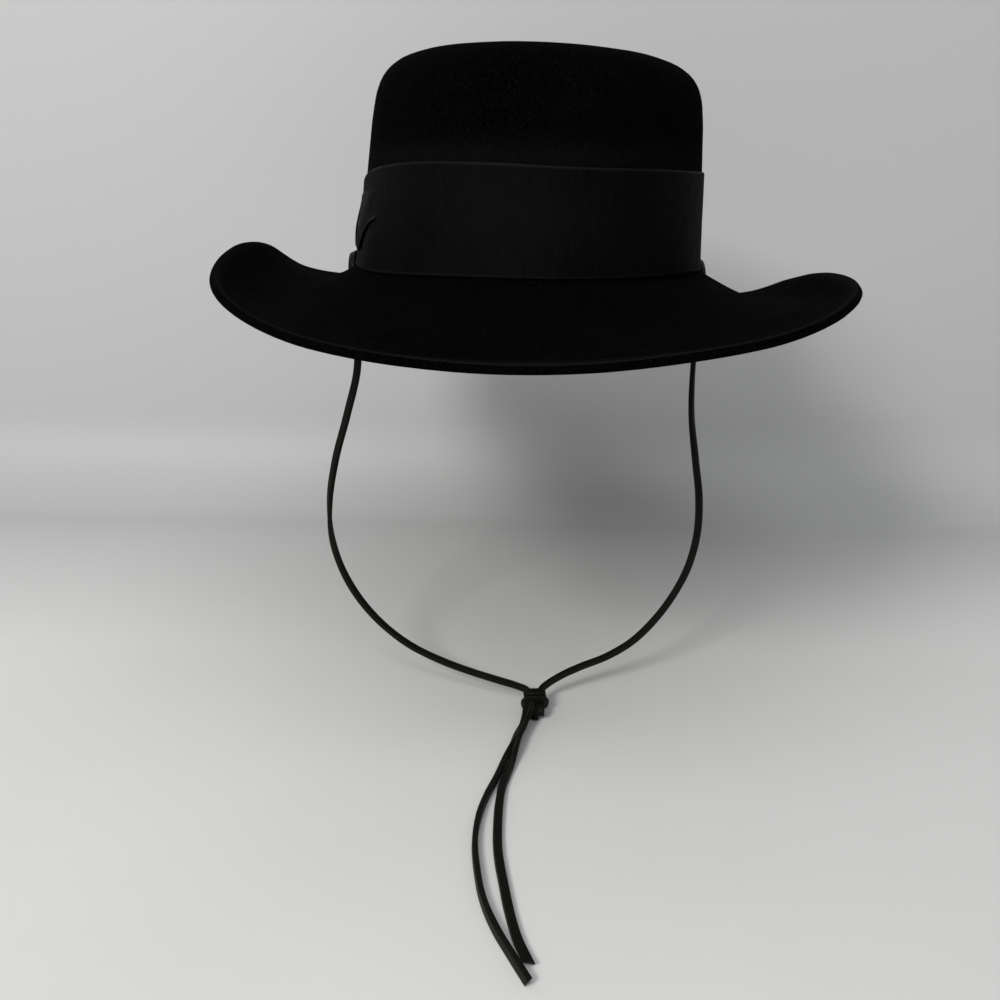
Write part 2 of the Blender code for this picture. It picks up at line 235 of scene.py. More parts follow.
# route of the chin cord, from the knot up to the right hole, round the back, and down
CHIN_ROUTE = [
    (9.4, -66.6, -206.9),
    (10.8, -63.2, -205.6),
    (14.6, -60.2, -203.6),
    (20.7, -57.2, -201.0),
    (30.8, -52.5, -198.2),
    (44.9, -46.5, -195.0),
    (58.3, -41.0, -188.9),
    (70.9, -35.5, -178.2),
    (80.2, -31.0, -166.4),
    (87.9, -28.0, -150.4),
    (91.6, -25.0, -134.4),
    (91.8, -22.0, -116.1),
    (89.2, -18.0, -95.6),
    (86.2, -13.5, -72.8),
    (86.0, -9.0, -50.2),
    (87.6, -4.6, -26.0),
    (88.4, -2.9, -9.0),
    (88.2, -2.5, -1.4),
    (87.7, 1.9, 3.1),
    (86.9, 10.2, 3.7),
    (85.6, 19.5, 2.5),
    (82.2, 36.2, 1.6),
    (71.7, 60.7, 1.6),
    (56.4, 81.1, 1.6),
    (37.0, 96.0, 1.6),
    (15.3, 104.5, 1.6),
    (0.0, 106.0, 1.6),
    (-15.3, 104.5, 1.6),
    (-37.0, 96.0, 1.6),
    (-56.4, 81.1, 1.6),
    (-71.7, 60.7, 1.6),
    (-82.2, 36.2, 1.6),
    (-86.0, 19.5, 2.0),
    (-87.7, 10.2, 3.9),
    (-88.6, 2.8, 4.0),
    (-88.7, -2.5, -0.4),
    (-88.6, -2.9, -9.0),
    (-86.8, -5.0, -28.0),
    (-86.8, -9.0, -53.2),
    (-92.0, -13.5, -76.0),
    (-98.0, -18.0, -99.0),
    (-101.0, -22.0, -119.6),
    (-100.2, -25.0, -137.9),
    (-95.9, -28.0, -152.4),
    (-87.3, -31.5, -168.1),
    (-75.5, -35.5, -181.2),
    (-59.2, -40.5, -192.5),
    (-42.0, -46.5, -198.6),
    (-24.9, -53.0, -201.9),
    (-10.4, -58.2, -203.9),
    (-2.2, -60.6, -205.2),
    (2.8, -63.0, -206.1),
    (4.4, -66.6, -206.7),
]

# routes of the two free ends on the surface below, from the knot outwards
TAIL_LEFT_ROUTE = [
    (2.4, -83.2, -210.0),
    (1.0, -88.5, -211.6),
    (-0.9, -94.5, -212.2),
    (-2.9, -101.5, -212.2),
    (-6.9, -115.6, -212.2),
    (-11.4, -133.5, -212.2),
    (-15.4, -147.0, -212.2),
    (-18.5, -162.0, -212.2),
    (-19.7, -177.8, -212.2),
    (-18.4, -196.2, -212.2),
    (-15.7, -213.0, -212.2),
    (-10.8, -228.4, -212.2),
    (-5.2, -241.0, -212.2),
    (0.2, -252.6, -212.2),
]
TAIL_RIGHT_ROUTE = [
    (5.0, -83.2, -206.6),
    (3.1, -89.0, -208.0),
    (1.2, -95.5, -208.9),
    (-0.7, -102.5, -209.2),
    (-2.6, -111.5, -209.7),
    (-4.5, -120.5, -211.3),
    (-6.6, -129.5, -212.2),
    (-8.7, -139.0, -212.2),
    (-10.1, -152.0, -212.2),
    (-10.7, -167.6, -212.2),
    (-10.2, -186.9, -212.2),
    (-8.1, -204.5, -212.2),
    (-5.7, -220.7, -212.2),
    (-3.0, -233.1, -212.2),
    (0.5, -243.4, -212.2),
]


# where the lace starts inside the knot, and how it turns along its length
CHIN_STARTS = [(8.8, -71.0, -207.2), (5.2, -71.0, -207.0)]
TAIL_LEFT_START = (3.0, -76.6, -208.0)
TAIL_RIGHT_START = (5.4, -76.6, -206.6)
STRAIGHT = [(0, 0), (0.5, 0), (1, 0)]
CHIN_TWIST = [
    # share, degrees
    (0, 0), (0.2, 0), (0.25, 25), (0.29, 10), (0.5, 0), (0.74, 0), (0.80, 20), (0.84, 75), (0.9, 85), (1, 80),
]
TAIL_LEFT_TWIST = [(0, 10), (0.08, 15), (0.18, 75), (0.3, 90), (0.6, 92), (1, 88)]
TAIL_RIGHT_TWIST = [(0, 60), (0.12, 75), (0.24, 60), (0.36, 10), (0.7, -4), (1, 4)]

# folds of lace in front of the knot's wraps, in millimetres
FOLD_LINE = [
    # forward, height
    (-74.0, -207.3), (-77.6, -207.0), (-80.0, -208.2), (-81.2, -210.2), (-80.2, -212.2), (-76.8, -212.6),
]
KNOT_FOLDS = [
    # across, reach, drop, width
    (3.0, 0.88, 0.66, 2.9),
    (0.2, 1.00, 0.86, 2.8),
    (-2.6, 0.76, 0.90, 2.8),
]


# materials

def start_material(name, color, roughness):
    """A Principled material and a helper that adds a node to it."""
    made = bpy.data.materials.new(name)
    made.use_nodes = True
    tree = made.node_tree
    shader = tree.nodes["Principled BSDF"]
    shader.inputs["Base Color"].default_value = (*color, 1.0)
    shader.inputs["Roughness"].default_value = roughness
    made.diffuse_color = (*color, 1.0)
    return made, tree, shader


def add_node(tree, kind, settings=None, **values):
    node = tree.nodes.new(kind)
    for key, value in (settings or {}).items():
        setattr(node, key, value)
    for key, value in values.items():
        node.inputs[key.replace("_", " ")].default_value = value
    return node


def noise_of(tree, scale, detail, place=None, roughness=0.55):
    made = add_node(tree, "ShaderNodeTexNoise", Scale=scale, Detail=detail, Roughness=roughness)
    if place is None:
        place = add_node(tree, "ShaderNodeTexCoord").outputs["Object"]
    tree.links.new(place, made.inputs["Vector"])
    return made.outputs["Fac"]


def ranged(tree, source, low, high, to_low, to_high):
    made = add_node(tree, "ShaderNodeMapRange", From_Min=low, From_Max=high, To_Min=to_low, To_Max=to_high)
    tree.links.new(source, made.inputs["Value"])
    return made.outputs["Result"]


def mixed(tree, share, first, second):
    """Mix of two colours, each a colour or a socket, by a socket."""
    made = add_node(tree, "ShaderNodeMix", {"data_type": "RGBA"})
    tree.links.new(share, made.inputs["Factor"])
    for socket, value in (("A", first), ("B", second)):
        place = [entry for entry in made.inputs if entry.name == socket and entry.type == "RGBA"][0]
        if isinstance(value, tuple):
            place.default_value = (*value, 1.0)
        else:
            tree.links.new(value, place)
    return [entry for entry in made.outputs if entry.type == "RGBA"][0]


def bumped(tree, height, strength, distance, before=None):
    made = add_node(tree, "ShaderNodeBump", Strength=strength, Distance=distance)
    tree.links.new(height, made.inputs["Height"])
    if before is not None:
        tree.links.new(before, made.inputs["Normal"])
    return made.outputs["Normal"]


def mark_of(tree, name):
    made = add_node(tree, "ShaderNodeAttribute", {"attribute_name": name})
    return made.outputs["Fac"]


def felt_material():
    made, tree, shader = start_material("black_fur_felt", (0.0016, 0.0017, 0.0019), 0.92)
    broad = ranged(tree, noise_of(tree, 26, 4), 0.35, 0.7, 0.0, 1.0)
    color = mixed(tree, broad, (0.00030, 0.00034, 0.00036), (0.00085, 0.00095, 0.00100))
    nap = ranged(tree, noise_of(tree, 950, 4, roughness=0.75), 0.48, 0.68, 0.0, 0.9)
    color = mixed(tree, nap, color, (0.0034, 0.0037, 0.0038))
    dust = ranged(tree, noise_of(tree, 420, 6, roughness=0.8), 0.66, 0.76, 0.0, 0.8)
    color = mixed(tree, dust, color, (0.016, 0.016, 0.016))
    # the lighter colour where the mark is set: a painted highlight on the brim's rim corner, and dust just above the
    # ribbon
    color = mixed(tree, mark_of(tree, "painted_highlight_wear_and_dust"), color, (0.0075, 0.0075, 0.0075))
    tree.links.new(color, shader.inputs["Base Color"])
    tree.links.new(ranged(tree, noise_of(tree, 90, 3), 0.3, 0.7, 0.84, 0.98), shader.inputs["Roughness"])
    fine = bumped(tree, noise_of(tree, 1300, 3), 0.7, 0.0006)
    shaped = bumped(tree, noise_of(tree, 260, 4), 0.4, 0.0008, fine)
    tree.links.new(shaped, shader.inputs["Normal"])
    shader.inputs["Specular IOR Level"].default_value = 0.004
    shader.inputs["Sheen Weight"].default_value = 0.0018
    shader.inputs["Sheen Roughness"].default_value = 0.55
    shader.inputs["Sheen Tint"].default_value = (0.75, 0.85, 0.9, 1.0)
    return made


def ribbon_material():
    made, tree, shader = start_material("ribbed_ribbon", (0.0045, 0.0045, 0.0046), 0.55)
    place = add_node(tree, "ShaderNodeTexCoord").outputs["Object"]
    stretch = add_node(tree, "ShaderNodeMapping", Scale=(1.0, 1.0, 0.12))
    tree.links.new(place, stretch.inputs["Vector"])
    streak = ranged(tree, noise_of(tree, 900, 3, stretch.outputs["Vector"]), 0.35, 0.65, 0.0, 1.0)
    color = mixed(tree, streak, (0.0009, 0.0009, 0.0009), (0.0024, 0.0024, 0.0024))
    weave = add_node(tree, "ShaderNodeTexWave", {"wave_type": "BANDS", "bands_direction": "Z"}, Scale=480.0)
    tree.links.new(place, weave.inputs["Vector"])
    broad = ranged(tree, noise_of(tree, 30, 3), 0.35, 0.65, 0.0, 0.45)
    color = mixed(tree, broad, color, (0.0034, 0.0034, 0.0034))
    # painted highlight: lighter where the mark is set, along the flat woven edges of the ribbon and bow
    color = mixed(tree, mark_of(tree, "painted_highlight_wear_and_dust"), color, (0.0095, 0.0095, 0.0096))
    tree.links.new(color, shader.inputs["Base Color"])
    tree.links.new(ranged(tree, streak, 0.0, 1.0, 0.48, 0.66), shader.inputs["Roughness"])
    threads = bumped(tree, weave.outputs["Fac"], 0.12, 0.0001)
    fuzz = bumped(tree, noise_of(tree, 1800, 2), 0.18, 0.0002, threads)
    tree.links.new(fuzz, shader.inputs["Normal"])
    shader.inputs["Specular IOR Level"].default_value = 0.03
    shader.inputs["Sheen Weight"].default_value = 0.010
    shader.inputs["Sheen Roughness"].default_value = 0.3
    return made


def leather_material():
    made, tree, shader = start_material("dark_leather_lace", (0.016, 0.014, 0.012), 0.5)
    place = add_node(tree, "ShaderNodeTexCoord").outputs["Object"]
    along = add_node(tree, "ShaderNodeAttribute", {"attribute_name": "along"}).outputs["Fac"]
    across = add_node(tree, "ShaderNodeAttribute", {"attribute_name": "across"}).outputs["Fac"]
    joined = add_node(tree, "ShaderNodeCombineXYZ")
    tree.links.new(along, joined.inputs["X"])
    tree.links.new(across, joined.inputs["Y"])
    grain = noise_of(tree, 3.2, 5, joined.outputs["Vector"], 0.7)
    tone = ranged(tree, grain, 0.35, 0.7, 0.0, 1.0)
    color = mixed(tree, tone, (0.0020, 0.0019, 0.0012), (0.0064, 0.0059, 0.0040))
    pores = ranged(tree, noise_of(tree, 1400, 4, place), 0.58, 0.75, 0.0, 0.8)
    color = mixed(tree, pores, color, (0.010, 0.0092, 0.0072))
    # on the lace the mark is only wear on its corners
    color = mixed(tree, mark_of(tree, "painted_highlight_wear_and_dust"), color, (0.017, 0.0155, 0.0120))
    tree.links.new(color, shader.inputs["Base Color"])
    tree.links.new(ranged(tree, grain, 0.3, 0.7, 0.38, 0.62), shader.inputs["Roughness"])
    furrows = bumped(tree, grain, 0.35, 0.0004)
    tree.links.new(bumped(tree, noise_of(tree, 900, 4, place), 0.25, 0.0003, furrows), shader.inputs["Normal"])
    shader.inputs["Specular IOR Level"].default_value = 0.10
    return made


def floor_material():
    made, tree, shader = start_material("pale_floor", (0.62, 0.62, 0.61), 0.5)
    tone = ranged(tree, noise_of(tree, 6, 4), 0.3, 0.7, 0.0, 1.0)
    floor = mixed(tree, tone, (0.67, 0.67, 0.66), (0.70, 0.70, 0.69))
    parts = add_node(tree, "ShaderNodeSeparateXYZ")
    tree.links.new(add_node(tree, "ShaderNodeTexCoord").outputs["Object"], parts.inputs["Vector"])
    # painted shade: the floor is painted darker towards the wall, and the wall a darker grey than the floor
    near = ranged(tree, parts.outputs["Y"], 0.0, WALL_PLACE - SWEEP_RADIUS / 2, 0.0, 1.0)
    rise = ranged(tree, parts.outputs["Z"], SURFACE + SWEEP_RADIUS / 4, SURFACE + SWEEP_RADIUS, 0.0, 1.0)
    color = mixed(tree, rise, mixed(tree, near, floor, (0.475, 0.475, 0.475)), (0.50, 0.50, 0.50))
    tree.links.new(color, shader.inputs["Base Color"])
    tree.links.new(bumped(tree, noise_of(tree, 300, 3), 0.04, 0.0002), shader.inputs["Normal"])
    shader.inputs["Specular IOR Level"].default_value = 0.25
    # the stage isn't seen from its back, so that a view from behind or below still shows the hat
    one_sided = add_node(tree, "ShaderNodeMixShader")
    tree.links.new(add_node(tree, "ShaderNodeNewGeometry").outputs["Backfacing"], one_sided.inputs[0])
    tree.links.new(shader.outputs[0], one_sided.inputs[1])
    tree.links.new(add_node(tree, "ShaderNodeBsdfTransparent").outputs[0], one_sided.inputs[2])
    tree.links.new(one_sided.outputs[0], tree.nodes["Material Output"].inputs["Surface"])
    return made


# smooth curves and the felt's shape

def read_smooth(places, values, at, period=None):
    """Reads a smooth curve through values at places, for one place or many."""
    places = np.array(places, float)
    values = np.array(values, float)
    if values.ndim == 1:
        values = values[:, None]
    at = np.atleast_1d(np.asarray(at, float))
    if period:
        places = np.concatenate([places[-2:] - period, places, places[:2] + period])
        values = np.concatenate([values[-2:], values, values[:2]])
        at = at % period
    slopes = np.gradient(values, places, axis=0)
    low = np.clip(np.searchsorted(places, at, side="right") - 1, 0, len(places) - 2)
    span = (places[low + 1] - places[low])[:, None]
    share = ((at - places[low]) / span[:, 0])[:, None]
    keep = 2 * share**3 - 3 * share**2 + 1
    leave = share**3 - 2 * share**2 + share
    arrive = share**3 - share**2
    start = keep * values[low] + leave * span * slopes[low]
    end = (1 - keep) * values[low + 1] + arrive * span * slopes[low + 1]
    return start + end


CROWN_ROWS = [(FOOT_RADIUS / CROWN_HEIGHT, 1.0)] + CROWN_SECTIONS


def crown_points(turns, heights, out=0.0):
    """Points on the crown wall in these directions, at these heights, held off it by out."""
    turns, heights, out = np.broadcast_arrays(np.asarray(turns, float), heights, out)
    places, sizes = zip(*CROWN_ROWS)
    shares = np.maximum(heights / CROWN_HEIGHT, places[0])
    size = read_smooth(places, sizes, shares.ravel())[:, 0].reshape(shares.shape)
    share = heights / CROWN_HEIGHT
    x = (CROWN_WIDTH / 2 * size + out) * np.cos(turns)
    y = (CROWN_LENGTH / 2 * size + out) * np.sin(turns)
    drop = CROWN_TILT * share**3 * x / (CROWN_WIDTH / 2)
    return np.stack([x + CROWN_LEAN * share, y, heights - drop], axis=-1)


def brim_points(turns, share):
    """Points on the brim's upper face, with share 0 at the foot of the crown and 1 at the rim."""
    rows = np.array(BRIM_SECTIONS)
    rim, foot_slope, rim_slope = read_smooth(rows[:, 0], rows[:, 1:], np.degrees(turns), 360).T
    rise = 3 * share**2 - 2 * share**3
    leave = share**3 - 2 * share**2 + share
    arrive = share**3 - share**2
    z = BRIM_LIFT * (rise * rim + leave * foot_slope + arrive * rim_slope)
    reach = np.where(np.sin(turns) > 0, BRIM_BACK, BRIM_FRONT)
    side = np.where(np.cos(turns) > 0, BRIM_RIGHT, BRIM_LEFT)
    fullness = 1 + BRIM_FULLNESS * np.sin(2 * turns) ** 2
    foot_x = (CROWN_WIDTH / 2 + FOOT_RADIUS) * np.cos(turns)
    foot_y = (CROWN_LENGTH / 2 + FOOT_RADIUS) * np.sin(turns)
    rim_x = (CROWN_WIDTH / 2 + side) * np.cos(turns) * fullness
    rim_y = (CROWN_LENGTH / 2 + reach) * np.sin(turns) * fullness
    return np.stack([foot_x + (rim_x - foot_x) * share, foot_y + (rim_y - foot_y) * share, z], axis=-1)


def foot_points(turns, share):
    """Points on the hollow curve where the crown meets the brim, share 0 at the wall."""
    angle = math.pi / 2 * share
    out = FOOT_RADIUS * (1 - math.cos(angle))
    x = (CROWN_WIDTH / 2 + out) * np.cos(turns)
    y = (CROWN_LENGTH / 2 + out) * np.sin(turns)
    z = np.full_like(x, FOOT_RADIUS * (1 - math.sin(angle)))
    return np.stack([x, y, z], axis=-1)


def crown_levels():
    """Heights of the crown's rings: even up the wall and closer together over the shoulder."""
    places, sizes = np.array(CROWN_ROWS).T
    fine = np.linspace(places[0], places[-1], 800)
    size = read_smooth(places, sizes, fine)[:, 0]
    step = np.hypot(np.diff(fine) * CROWN_HEIGHT, np.diff(size) * CROWN_WIDTH / 2)
    along = np.concatenate([[0], np.cumsum(step)])
    count = 58
    return np.interp(np.linspace(0, along[-1], count), along, fine) * CROWN_HEIGHT


# meshes

def add_piece(name, mesh, finish, smooth_under=40):
    made = bpy.data.objects.new(name, mesh)
    bpy.context.scene.collection.objects.link(made)
    mesh.materials.append(finish)
    mesh.shade_smooth()
    mesh.set_sharp_from_angle(angle=math.radians(smooth_under))
    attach(made, BODY)
    return made


def grid_mesh(name, grid, closed_rows, closed_along, marks=None, cap=False):
    """Mesh over a grid of points: rows of columns, with columns closed, and rows too if asked."""
    rows, columns = grid.shape[:2]
    numbers = np.arange(rows * columns).reshape(rows, columns)
    last_row = rows if closed_rows else rows - 1
    last_column = columns if closed_along else columns - 1
    faces = []
    for row in range(last_row):
        here, above = numbers[row], numbers[(row + 1) % rows]
        for column in range(last_column):
            after = (column + 1) % columns
            faces.append((here[column], here[after], above[after], above[column]))
    points = grid.reshape(-1, 3)
    if cap:
        points = np.vstack([points, grid[0].mean(axis=0), grid[-1].mean(axis=0)])
        for row, tip in ((0, rows * columns), (rows - 1, rows * columns + 1)):
            for column in range(columns):
                faces.append((numbers[row][column], numbers[row][(column + 1) % columns], tip))
    mesh = bpy.data.meshes.new(name)
    mesh.from_pydata(points.tolist(), [], [tuple(int(n) for n in face) for face in faces])
    for mark, values in (marks or {}).items():
        values = np.asarray(values, np.float32).ravel()
        layer = mesh.attributes.new(mark, "FLOAT", "POINT")
        layer.data.foreach_set("value", np.concatenate([values, np.zeros(len(points) - len(values), np.float32)]))
    mesh.validate()
    face_out(mesh)
    return mesh


def face_out(mesh):
    form = bmesh.new()
    form.from_mesh(mesh)
    bmesh.ops.recalc_face_normals(form, faces=form.faces)
    form.to_mesh(mesh)
    form.free()


def grid_normals(grid):
    """Unit normals of a grid of rows that close on themselves."""
    across = np.roll(grid, -1, axis=1) - np.roll(grid, 1, axis=1)
    along = np.gradient(grid, axis=0)
    normals = np.cross(across, along)
    return normals / np.maximum(np.linalg.norm(normals, axis=-1, keepdims=True), 1e-12)


def felt_grid():
    """Outer face of the felt from the rim to near the top of the crown, and each ring's thickness."""
    turns = np.linspace(0, 2 * math.pi, AROUND, endpoint=False)
    rings, thickness = [], []
    for step in range(BRIM_RINGS, 0, -1):
        rings.append(brim_points(turns, step / BRIM_RINGS))
        thickness.append(BRIM_THICKNESS)
    for step in range(FOOT_RINGS, 0, -1):
        share = step / FOOT_RINGS
        rings.append(foot_points(turns, share))
        thickness.append(CROWN_THICKNESS + (BRIM_THICKNESS - CROWN_THICKNESS) * share)
    for height in crown_levels():
        rings.append(crown_points(turns, height))
        thickness.append(CROWN_THICKNESS)
    return np.array(rings), np.array(thickness)


def roughened(points, normals):
    """Slow waves and a fine grain pressed into the felt."""
    moved = points.copy()
    for number, (point, normal) in enumerate(zip(points, normals)):
        slow = fractal(Vector(point) * 22, 1.0, 2.0, 2)
        fine = noise(Vector(point) * 420)
        moved[number] = point + normal * (FELT_WAVE * slow + FELT_GRAIN * fine)
    return moved


def rim_rings(rim, outward, normal, thickness):
    """Rings round the cut edge, from the upper corner to the lower one, with both corners rounded."""
    rings = []
    for corner, depth in ((1, RIM_ROUNDING), (-1, thickness - RIM_ROUNDING)):
        centre = rim - outward * RIM_ROUNDING - normal * depth
        start = 90 if corner > 0 else 0
        for step in range(RIM_STEPS + 1):
            angle = math.radians(start - 90 * step / RIM_STEPS)
            rings.append(centre + RIM_ROUNDING * (outward * math.cos(angle) + normal * math.sin(angle)))
    return rings


def make_felt(finish):
    outer, thickness = felt_grid()
    normals = grid_normals(outer)
    outside = np.sign((normals[-20] * np.array([0, 0, 1])).sum(-1).mean())
    normals *= outside
    shape = outer.shape
    outer = roughened(outer.reshape(-1, 3), normals.reshape(-1, 3)).reshape(shape)
    inner = outer - normals * thickness[:, None, None]
    outward = outer[0] - outer[1]
    outward /= np.linalg.norm(outward, axis=-1, keepdims=True)
    rim = rim_rings(outer[0], outward, normals[0], BRIM_THICKNESS)
    upper = outer[1:][::-1]
    lower = inner[1:]
    whole = np.concatenate([upper, np.array(rim), lower])
    painted_highlight_wear_and_dust = np.zeros(whole.shape[:2])
    first = len(upper)
    # painted highlight: the upper corner of the cut rim, and the brim ring next to it, are painted lighter
    painted_highlight_wear_and_dust[first - 1] = 0.3
    painted_highlight_wear_and_dust[first:first + 2] = 0.8
    # dust lying on the crown just above the ribbon
    heights = upper[:, :, 2]
    painted_highlight_wear_and_dust[:first] += 0.28 * np.exp(-((heights - DUST_HEIGHT) / DUST_REACH) ** 2)
    mesh = grid_mesh("felt_hat", whole, False, True, {"painted_highlight_wear_and_dust": painted_highlight_wear_and_dust}, cap=True)
    hat = add_piece("felt_hat", mesh, finish)
    for side in (-1, 1):
        cut_hole(hat, side)
    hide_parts("felt_body")
    return hat


def cut_hole(hat, side):
    """Cuts the cord hole through the brim and applies the cut."""
    form = bmesh.new()
    bmesh.ops.create_cone(form, cap_ends=True, segments=24, radius1=HOLE_RADIUS, radius2=HOLE_RADIUS, depth=0.02)
    bmesh.ops.translate(form, verts=form.verts, vec=(side * HOLE_SIDE, HOLE_FRONT, 0))
    mesh = bpy.data.meshes.new("hole")
    form.to_mesh(mesh)
    form.free()
    cutter = bpy.data.objects.new("hole", mesh)
    bpy.context.scene.collection.objects.link(cutter)
    cut = hat.modifiers.new("hole", "BOOLEAN")
    cut.operation = "DIFFERENCE"
    cut.solver = "EXACT"
    cut.object = cutter
    graph = bpy.context.evaluated_depsgraph_get()
    done = bpy.data.meshes.new_from_object(hat.evaluated_get(graph))
    hat.modifiers.clear()
    hat.data = done
    bpy.data.objects.remove(cutter, do_unlink=True)


def rib_wave(distance):
    """Rounded ribs, 0 in a groove and 1 on a rib."""
    return np.abs(np.sin(math.pi * distance / RIB_PITCH)) ** 0.8


def section_rows(width):
    """Rows across a ribbon: share of its width, share of its thickness, share of the ribs' depth."""
    edge, hem = 0.25 * MM / width, SELVEDGE / width
    lower = [(0.0, 0.5, 0.0), (edge, 0.9, 0.3), (hem, 1.0, 0.5), (1.4 * hem, 0.92, 1.0), (0.25, 0.92, 1.0)]
    return lower + [(0.5, 0.92, 1.0)] + [(1 - share, thick, rib) for share, thick, rib in reversed(lower)]


def band_shape(turns, share):
    """Height of a line along the ribbon, and how far its inner face stands off the crown."""
    degrees = np.degrees(turns)
    rows, edge = np.array(BAND_SECTIONS), np.array(BAND_EDGE)
    high = read_smooth(rows[:, 0], rows[:, 1], degrees, 360)[:, 0]
    sag, stand_off, drop, flare = (read_smooth(edge[:, 0], edge[:, 1:], degrees, 360) * MM).T
    low_share = 1 - share
    height = BAND_SEAT + BAND_WIDTH * high * share - sag * share**2 - drop * low_share**4
    turned = np.exp(-((degrees - BULGE_TURN) / BULGE_SPREAD) ** 2)
    bulge = BAND_BULGE * turned * np.exp(-((height - BULGE_HEIGHT) / BULGE_REACH) ** 2)
    return height, RIBBON_OFF + stand_off * share**4 + flare * low_share**6 + bulge


def make_band(finish):
    """The ribbon round the crown, with real ribs and a flat woven edge above and below."""
    perimeter_turns = np.linspace(0, 2 * math.pi, 2400)
    ring = crown_points(perimeter_turns, 20 * MM, RIBBON_OFF)
    along = np.concatenate([[0], np.cumsum(np.linalg.norm(np.diff(ring, axis=0), axis=1))])
    ribs = int(along[-1] / RIB_PITCH)
    distance = np.linspace(0, ribs * RIB_PITCH, ribs * RIB_STEPS, endpoint=False)
    turns = np.interp(distance, along, perimeter_turns)
    wave = rib_wave(distance)
    rings, painted_highlight_wear_and_dust = [], []
    for share, thick, rib in section_rows(BAND_WIDTH):
        height, off = band_shape(turns, share)
        rings.append(crown_points(turns, height, off + RIBBON_THICKNESS * thick + RIB_DEPTH * rib * (wave - 0.5)))
        # painted highlight: the flat woven edges are painted lighter
        painted_highlight_wear_and_dust.append(np.full(len(turns), 0.45 if rib < 1 else 0.0))
    for share in (1.0, 0.5, 0.0):
        rings.append(crown_points(turns, *band_shape(turns, share)))
        painted_highlight_wear_and_dust.append(np.zeros(len(turns)))
    mesh = grid_mesh("ribbon", np.array(rings), True, True, {"painted_highlight_wear_and_dust": np.array(painted_highlight_wear_and_dust)})
    band = add_piece("ribbon", mesh, finish, 60)
    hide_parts("ribbon_band")
    return band


def bow_shape(place):
    """Lower edge, upper edge and puff of the bow at places along it, in metres."""
    rows = np.array(BOW_SECTIONS)
    low, high, puff = read_smooth(rows[:, 0], rows[:, 1:], place).T
    return BOW_SEAT + BOW_WIDTH * low, BOW_SEAT + BOW_WIDTH * high, BOW_PUFF * puff


def bow_route():
    """The folded ribbon's line round the loop: distance from the bow's middle, and height off the band."""
    half = BOW_LENGTH / 2
    front = np.linspace(-half + BOW_FOLD, half - BOW_FOLD, 240)
    puff = bow_shape(0.5 + front / BOW_LENGTH)[2]
    angles = np.linspace(90, -90, 24)[1:-1]
    back_end = [
        (front[-1] + BOW_FOLD * math.cos(math.radians(a)), puff[-1] / 2 * (1 + math.sin(math.radians(a))))
        for a in angles
    ]
    front_end = [(-s, puff[0] / puff[-1] * off) for s, off in reversed(back_end)]
    path = list(zip(front, puff)) + back_end + [(s, 0.0) for s in front[::-1]] + front_end
    path = np.array(path)
    closed = np.vstack([path, path[:1]])
    along = np.concatenate([[0], np.cumsum(np.linalg.norm(np.diff(closed, axis=0), axis=1))])
    ribs = int(along[-1] / RIB_PITCH)
    wanted = np.linspace(0, along[-1], ribs * RIB_STEPS, endpoint=False)
    places = np.stack([np.interp(wanted, along, closed[:, axis]) for axis in range(2)], axis=1)
    return places, wanted * ribs * RIB_PITCH / along[-1]


def make_bow_loop(finish):
    """Ribbon folded into a flat loop along the band, pinched in small pleats towards its middle."""
    route, distance = bow_route()
    heading = np.roll(route, -1, axis=0) - np.roll(route, 1, axis=0)
    heading /= np.linalg.norm(heading, axis=1, keepdims=True)
    outward = np.stack([-heading[:, 1], heading[:, 0]], axis=1)
    wave = rib_wave(distance)
    low, high, _ = bow_shape(np.clip(0.5 + route[:, 0] / BOW_LENGTH, 0, 1))
    pinch = np.exp(-np.abs(route[:, 0]) / PLEAT_REACH)
    rings, painted_highlight_wear_and_dust = [], []
    for share, thick, rib in section_rows(BOW_WIDTH):
        pleat = PLEAT_DEPTH * pinch * np.cos(2 * math.pi * PLEATS * share)
        out = BOW_THICKNESS / 2 * thick + RIB_DEPTH * rib * (wave - 0.5) + pleat
        rings.append(bow_ring(route + outward * out[:, None], low + (high - low) * share, share))
        # painted highlight: the flat woven edges are painted lighter
        painted_highlight_wear_and_dust.append(np.full(len(route), 0.45 if rib < 1 else 0.0))
    for share in (1.0, 0.75, 0.5, 0.25, 0.0):
        pleat = PLEAT_DEPTH * pinch * np.cos(2 * math.pi * PLEATS * share)
        inside = route + outward * (pleat - BOW_THICKNESS / 2)[:, None]
        rings.append(bow_ring(inside, low + (high - low) * share, share))
        painted_highlight_wear_and_dust.append(np.zeros(len(route)))
    mesh = grid_mesh("bow", np.array(rings), True, True, {"painted_highlight_wear_and_dust": np.array(painted_highlight_wear_and_dust)})
    loop = add_piece("bow", mesh, finish, 60)
    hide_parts("bow_loop")
    return loop


def eased(share):
    share = np.clip(share, 0, 1)
    return share * share * (3 - 2 * share)


def bow_ring(route, heights, share):
    """Points on the crown's side for a line of (distance back from the middle, height off the band)."""
    turns = math.radians(BOW_TURN) - route[:, 0] / (CROWN_LENGTH / 2)
    place = 0.5 + route[:, 0] / BOW_LENGTH
    front = (1 - eased(place / 0.22)) * eased(share / 0.3)
    top = TOP_SUNK * (1 - eased((place - 0.62) / 0.13)) * eased((share - 0.2) / 0.8)
    sunk = np.maximum(front, top)
    return crown_points(turns, heights, (BOW_OFF + route[:, 1]) * (1 - sunk) + BOW_SUNK * sunk)


